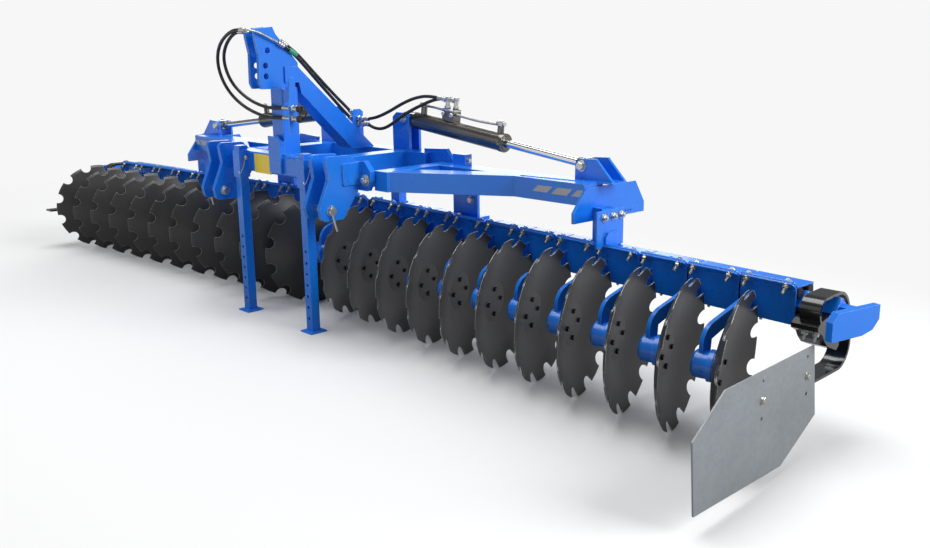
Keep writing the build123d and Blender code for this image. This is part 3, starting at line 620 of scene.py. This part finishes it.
# hinge, link, cylinder and rod pins with their nuts, and the lever on each link pin
pins = {
    "hinge": {"x": 612, "z": 822, "front": 185, "rear": 715},
    "link": {"z": 685, "inner": 419.5, "outer": 565.5},
    "base": {"x": 355, "z": 1086, "y": 709, "half": 44},
    "rod": {"x": 1608, "z": 934, "y": 709, "inner": 25.6, "outer": 51, "radius": 17},
    "lever": {
        "radius": 5.5, "route": ((578, -6, 716), (580, -10, 694), (584, 4, 630), (588, 16, 584)),
    },
}
for sideName, side in sides.items():
    nuts = bmesh.new()
    h, l, b = pins["hinge"], pins["link"], pins["base"]
    for y, way in ((h["front"], -1), (h["rear"], 1)):
        place = facing(spot(side * h["x"], y, h["z"]), (0, way, 0), twist=15)
        washer(nuts, place, 31, 5)
        hexagon(nuts, raised(place, 5), 46, 14)
        turned(nuts, raised(place, 19), [(0, 0), (14, 0), (14, 5), (11, 8), (0, 8)], 20)
    place = facing(spot(side * l["inner"], 0, l["z"]), (-side, 0, 0), twist=12)
    washer(nuts, place, 27, 4)
    hexagon(nuts, raised(place, 4), 41, 16)
    place = facing(spot(side * l["outer"], 0, l["z"]), (side, 0, 0))
    washer(nuts, place, 27, 4)
    turned(nuts, raised(place, 4), [(0, 0), (21, 0), (23, 2), (23, 13), (19, 17), (0, 17)], 24)
    for way in (-1, 1):
        place = facing(spot(side * b["x"], b["y"] + way * b["half"], b["z"]), (0, way, 0))
        washer(nuts, place, 26, 4)
        turned(nuts, raised(place, 4), [(0, 0), (20.5, 0), (20.5, 5), (17, 8), (0, 8)], 24)
    makePiece("pinNuts_" + sideName, nuts, zinc, "centre_frame")
    rodPins = bmesh.new()
    r = pins["rod"]
    for way in (-1, 1):
        place = facing(spot(side * r["x"], r["y"] + way * r["inner"], r["z"]), (0, way, 0))
        reach = r["outer"] - r["inner"]
        turned(rodPins, place, [(0, 0), (r["radius"], 0), (r["radius"], reach), (0, reach)], 28)
        place = facing(spot(side * r["x"], r["y"] + way * r["outer"], r["z"]), (0, way, 0), twist=8)
        washer(rodPins, place, 27, 4)
        hexagon(rodPins, raised(place, 4), 36, 15)
    makePiece("rodPins_" + sideName, rodPins, zinc, "wing_" + sideName)
    lever = pins["lever"]
    makeWire("linkLever_" + sideName, [spot(side * x, y, z) for x, y, z in lever["route"]],
             lever["radius"], zinc, "centre_frame")
print("pins ready")

# the plate on the right post reaches further forward than the left one, and carries a small foot
postPlate = {
    "face": 1811.5, "thick": 8, "frontEdge": {"right": 508, "left": 612}, "backEdge": 704,
    "foot": [(560, 594), (560, 640), (578, 662), (650, 662), (650, 594)], "footThick": 12,
    "low": 594, "high": 762, "boltBack": 690, "leftSpacing": 0.42,
}

# bolts as (place, direction, size), with how far the threaded ends stick out
postBolts = {
    "middle": [((869, 674, 691), (0, -1, 0), 20), ((790, 650, 602), (0, 0, 1), 16)],
    "stop": [((860, 668, 897), (1, 0, 0), 14)],
    "outer": [((1819.5, y, 731), (1, 0, 0), 18) for y in (556, 624, 684)],
    "spring": [((x, 432, 456), (0, -0.46, -0.89), 14) for x in (2842, 2884)],
}
threadEnds = {"spring": 22, "outer": 8}
sidePlate = {"face": 2912, "boltPlaces": ((-8, 332), (320, 328)), "boltSize": 14}
for sideName, side in sides.items():
    bolts = bmesh.new()
    for group, places in postBolts.items():
        for (x, y, z), (ax, ay, az), size in places:
            if group == "outer" and side < 0:
                y = postPlate["boltBack"] + (y - postPlate["boltBack"]) * postPlate["leftSpacing"]
            place = facing(spot(side * x, y, z), (side * ax, ay, az), twist=x % 60)
            if group in threadEnds:
                nutEnd(bolts, place, size, threadEnds[group])
            else:
                headEnd(bolts, place, size)
    makePiece("postBolts_" + sideName, bolts, zinc, "wing_" + sideName)
    if sideName == "right":
        plateBolts = bmesh.new()
        for y, z in sidePlate["boltPlaces"]:
            place = facing(spot(sidePlate["face"], y, z), (1, 0, 0), twist=y % 60)
            headEnd(plateBolts, place, sidePlate["boltSize"])
        makePiece("sidePlateBolts", plateBolts, zinc, "wing_right")
print("post bolts ready")


# flat plate between two places across the machine, with its outline in (y, z)
def slab(bm, side, outline, near, far):
    a, b = ([bm.verts.new(spot(side * x, y, z)) for y, z in outline] for x in (near, far))
    bm.faces.new(a)
    bm.faces.new(b)
    for k in range(len(outline)):
        n = (k + 1) % len(outline)
        bm.faces.new((a[k], a[n], b[n], b[k]))


for sideName, side in sides.items():
    plate = bmesh.new()
    near, far = postPlate["face"], postPlate["face"] + postPlate["thick"]
    front, back = postPlate["frontEdge"][sideName], postPlate["backEdge"]
    low, high = postPlate["low"], postPlate["high"]
    slab(plate, side, [(front, low), (front, high), (back, high), (back, low)], near, far)
    if side > 0:
        slab(plate, side, postPlate["foot"], far, far + postPlate["footThick"])
    makePiece("postPlate_" + sideName, plate, bluePaint, "wing_" + sideName)
print("post plates ready")

# grey reflecting marks on the front of each wing beam
marks = [
    ((1404, 810), (1494, 810), (1529, 841), (1439, 840)),
    ((1520, 808), (1613, 808), (1646, 842), (1557, 840)),
    ((1639, 810), (1704, 810), (1706, 842), (1676, 841)),
]
markFace = {"back": 548.2, "front": 547.2}
for sideName, side in sides.items():
    bm = bmesh.new()
    for corners in marks:
        back = [bm.verts.new(spot(side * x, markFace["back"], z)) for x, z in corners]
        front = [bm.verts.new(spot(side * x, markFace["front"], z)) for x, z in corners]
        bm.faces.new(back)
        bm.faces.new(front)
        for k in range(4):
            n = (k + 1) % 4
            bm.faces.new((back[k], back[n], front[n], front[k]))
    makePiece("reflectors_" + sideName, bm, reflectorGrey, "wing_" + sideName)
print("marks ready")

# hose couplings, their caps and the strap that ties the caps
couplings = {
    "x": 146, "y": 88, "levels": (1164, 1112), "brace": (40, 600, (1076, 1046)),
    "strap": ((214, 88, 1172), (232, 96, 1178), (246, 106, 1160), (244, 108, 1132), (228, 98, 1106),
              (212, 90, 1102)),
    "strapRadius": 4, "sleeve": (63, 150, 1459), "sleeveLie": (-8, 82, -52),
}
fittings, caps = bmesh.new(), bmesh.new()
for z in couplings["levels"]:
    inner = facing(spot(couplings["x"], couplings["y"], z), (-1, 0, 0))
    outer = facing(spot(couplings["x"] + 8, couplings["y"], z), (1, 0, 0))
    hexagon(fittings, inner, 32, 15)
    hexagon(fittings, outer, 32, 12)
    turned(fittings, raised(outer, 12), [
        (0, 0), (15, 0), (15, 20), (17, 22), (17, 36), (15, 38), (0, 38)], 24)
    turned(caps, raised(outer, 50), [(0, 0), (16, 0), (18, 3), (18, 16), (14, 22), (0, 22)], 24)
x, y, levels = couplings["brace"]
for z in levels:
    hexagon(fittings, facing(spot(x, y, z), (-1, 0, 0)), 32, 14)
    hexagon(fittings, facing(spot(x + 8, y, z), (1, 0, 0)), 32, 14)
    hexagon(fittings, facing(spot(x + 40, y, z), (1, 0, 0)), 29, 16)
makePiece("couplingNuts", fittings, zinc, "centre_frame")
makePiece("couplingCaps", caps, boltBlack, "centre_frame")
makeWire("capStrap", [spot(*p) for p in couplings["strap"]], couplings["strapRadius"], boltBlack,
         "centre_frame")
sleeve = bmesh.new()
turned(sleeve, facing(spot(*couplings["sleeve"]), couplings["sleeveLie"]), [
    (0, 0), (11, 0), (12.5, 2), (12.5, 50), (11, 52), (0, 52)], 20)
makePiece("greenSleeve", sleeve, labelGreen, "centre_frame")
print("couplings ready")

# fold cylinder dressing: gland ring, hexagons on the ports and the valve block, rod collar;
# places run along the barrel from its base pin
cylinder = {
    "base": (355, 709, 1086), "drop": 6.9167, "gland": 706, "radius": 46,
    "portHexes": ((120, 80, 30, 14), (693, 80, 30, 14), (120, 98, 26, 10), (693, 98, 26, 10)),
    "blockPorts": ((312, -12), (350, 12)), "blockAlong": 332, "blockUp": 100,
    "blockSize": (89, 58, 12), "screws": (302, 362), "collar": 1203,
}
tilt = math.radians(cylinder["drop"])


def barrelSpot(side, along, across, up):
    x = along * math.cos(tilt) + up * math.sin(tilt)
    z = up * math.cos(tilt) - along * math.sin(tilt)
    bx, by, bz = cylinder["base"]
    return spot(side * (bx + x), by + across, bz + z)


for sideName, side in sides.items():
    along = barrelSpot(side, 1, 0, 0) - barrelSpot(side, 0, 0, 0)
    upright = barrelSpot(side, 0, 0, 1) - barrelSpot(side, 0, 0, 0)
    ring = bmesh.new()
    r = cylinder["radius"]
    turned(ring, facing(barrelSpot(side, cylinder["gland"], 0, 0), along), [
        (0, 0), (r + 0.4, 0), (r + 2.2, 1.5), (r + 2.2, 26), (r + 0.4, 28.5), (r - 9, 29.5),
        (r - 10, 33), (21.5, 34), (21.5, 29), (0, 29)], 48)
    barrel, darkSteel = "barrel_" + sideName, finish["dark_steel"]
    makePiece("glandRing_" + sideName, ring, darkSteel, barrel)
    hexes = bmesh.new()
    for a, up, size, thick in cylinder["portHexes"]:
        hexagon(hexes, facing(barrelSpot(side, a, 0, up), upright, twist=10), size, thick)
    for a, across in cylinder["blockPorts"]:
        hexagon(hexes, facing(barrelSpot(side, a, across, 106), upright), 30, 14)
        hexagon(hexes, facing(barrelSpot(side, a, across, 150), upright), 28, 18)
        hexagon(hexes, facing(barrelSpot(side, a - 18, across, 150), -along), 27, 18)
    blockSpot = barrelSpot(side, cylinder["blockAlong"], 0, cylinder["blockUp"])
    block(hexes, Matrix.Translation(blockSpot) @ Matrix.Rotation(side * tilt, 4, "Y"),
          cylinder["blockSize"], 2.5)
    for a in cylinder["screws"]:
        hexagon(hexes, facing(barrelSpot(side, a, -27, 78), (0, -1, 0)), 22, 10)
    makePiece("valveFittings_" + sideName, hexes, zinc, barrel)
    eyeEnd = bmesh.new()
    turned(eyeEnd, facing(barrelSpot(side, cylinder["collar"], 0, 0), along), [
        (0, 0), (20.4, 0), (25, 3), (27, 8), (27, 17), (0, 17)], 32)
    makePiece("rodCollar_" + sideName, eyeEnd, darkSteel, "rod_" + sideName)
print("cylinders ready")

# weld beads as (radius, start, end) on the right side, mirrored to the left
welds = {
    "centre_frame": [
        (4, (565.5, 75, 802), (565.5, 75, 912)), (4, (565.5, 75, 912), (565.5, 185, 912)),
        (4, (565.5, 75, 802), (565.5, 185, 802)), (3.5, (270.5, 75, 806), (270.5, 75, 908)),
        (3.5, (335.5, 75, 806), (335.5, 75, 908)), (3.5, (283, 185, 912), (377, 185, 912)),
        (3.5, (283, 655, 912), (377, 655, 912)), (3.5, (267, 665, 912), (402, 665, 912)),
        (3.5, (402, 665, 914), (402, 681, 914)), (3.5, (402, 737, 914), (402, 753, 914)),
        (3.5, (419.5, 75, 815), (419.5, 75, 905)), (3.5, (444.5, 75, 815), (444.5, 75, 905)),
        (3.5, (50, 97, 912), (50, 193, 912)), (3.5, (59, 545, 912), (59, 692, 912)),
        (3.5, (51, 124, 1262), (51, 193, 1262)), (3.5, (59, 119, 1292), (59, 119, 1372)),
        (3.5, (380, 190, 802), (380, 650, 802)),
    ],
    "wing": [
        (3.5, (1572, 658, 870), (1792, 658, 870)), (3.5, (1572, 672, 870), (1792, 672, 870)),
        (3.5, (1572, 746, 870), (1792, 746, 870)), (3.5, (1710, 550, 775), (1710, 550, 868)),
        (3.5, (1710, 550, 870), (1710, 688, 870)), (3.5, (770, 640, 870), (860, 640, 870)),
        (3.5, (860, 640, 870), (860, 690, 870)), (3.5, (735, 674, 770), (830, 674, 770)),
        (3.5, (742, 248, 870), (742, 574, 870)), (3.5, (1300, 576, 870), (1660, 617, 870)),
        (3.5, (1717, 608, 757), (1770, 608, 757)), (3.5, (735, 674, 592), (915, 674, 592)),
        (3.5, (1717, 608, 592), (1812, 608, 592)), (3.5, (1812, 608, 592), (1812, 698, 592)),
    ],
}
weldAngle = 80
for sideName, side in sides.items():
    beads = {"centre_frame": bmesh.new(), "wing": bmesh.new()}
    for body, lines in welds.items():
        for radius, start, end in lines:
            first, last = (spot(side * x, y, z) for x, y, z in (start, end))
            bead(beads[body], first, last, radius)
    makePiece("frameWelds_" + sideName, beads["centre_frame"], bluePaint, "centre_frame",
              weldAngle)
    makePiece("wingWelds_" + sideName, beads["wing"], bluePaint, "wing_" + sideName,
              weldAngle)
print("welds ready")

# lock pins with wire loops through the sleeves of the parking legs
legPin = {
    "x": 303, "y": 44, "z": 880, "face": 34, "radius": 8, "wireRadius": 2,
    "wire": ((46, 44, 890), (58, 34, 884), (66, 18, 840), (52, 6, 800), (36, 6, 792), (26, 8, 806)),
}
for sideName, side in sides.items():
    bm = bmesh.new()
    x, r = side * legPin["x"], legPin["radius"]
    place = facing(spot(x + legPin["face"], legPin["y"], legPin["z"]), (1, 0, 0))
    turned(bm, place, [(0, -2), (r, -2), (r, 10), (11, 11), (11, 17), (0, 18)], 16)
    makePiece("legPin_" + sideName, bm, zinc, "centre_frame")
    makeWire("legPinWire_" + sideName, [spot(x + dx, y, z) for dx, y, z in legPin["wire"]],
             legPin["wireRadius"], yellowZinc, "centre_frame")
print("leg pins ready")

# pale studio floor that fades into the background; it is brighter to the camera than to the
# object, so that it throws no glare on the undersides
studioFloor = {
    "reach": 60, "below": 0.0005, "toObject": (0.33, 0.33, 0.34), "toCamera": (0.78, 0.78, 0.78),
    "squeeze": (0.42, 1, 1), "fadeStart": 1.3, "fadeEnd": 3.2,
}
floorMesh = bpy.data.meshes.new("studioFloor")
far = studioFloor["reach"]
corners = [(-far, -far, 0), (far, -far, 0), (far, far, 0), (-far, far, 0)]
floorMesh.from_pydata(corners, [], [(0, 1, 2, 3)])
floor = bpy.data.objects.new("studioFloor", floorMesh)
floor.location.z = cadBox[0][2] - studioFloor["below"]
bpy.context.collection.objects.link(floor)
f = Finish("paleFloor")
f.set(Roughness=1.0, Specular_IOR_Level=0.0)
cameraRay = f.add("LightPath").outputs["Is Camera Ray"]
f.base(f.mix(cameraRay, studioFloor["toObject"], studioFloor["toCamera"]))
glow = f.add("Emission")
glow.inputs["Color"].default_value = (backdrop["paleGrey"],) * 3 + (1,)
stretch = f.add("VectorMath", operation="MULTIPLY")
stretch.inputs[1].default_value = studioFloor["squeeze"]
f.join(f.add("TexCoord").outputs["Object"], stretch.inputs[0])
distance = f.add("VectorMath", operation="LENGTH")
f.join(stretch.outputs["Vector"], distance.inputs[0])
fade = f.add("MapRange", interpolation_type="SMOOTHSTEP")
fade.inputs["From Min"].default_value = studioFloor["fadeStart"]
fade.inputs["From Max"].default_value = studioFloor["fadeEnd"]
f.join(distance.outputs["Value"], fade.inputs["Value"])
both = f.add("MixShader")
f.join(fade.outputs["Result"], both.inputs[0])
f.join(f.shader.outputs[0], both.inputs[1])
f.join(glow.outputs[0], both.inputs[2])
f.join(both.outputs[0], f.output.inputs["Surface"])
floorMesh.materials.append(f.material)
print("floor ready")
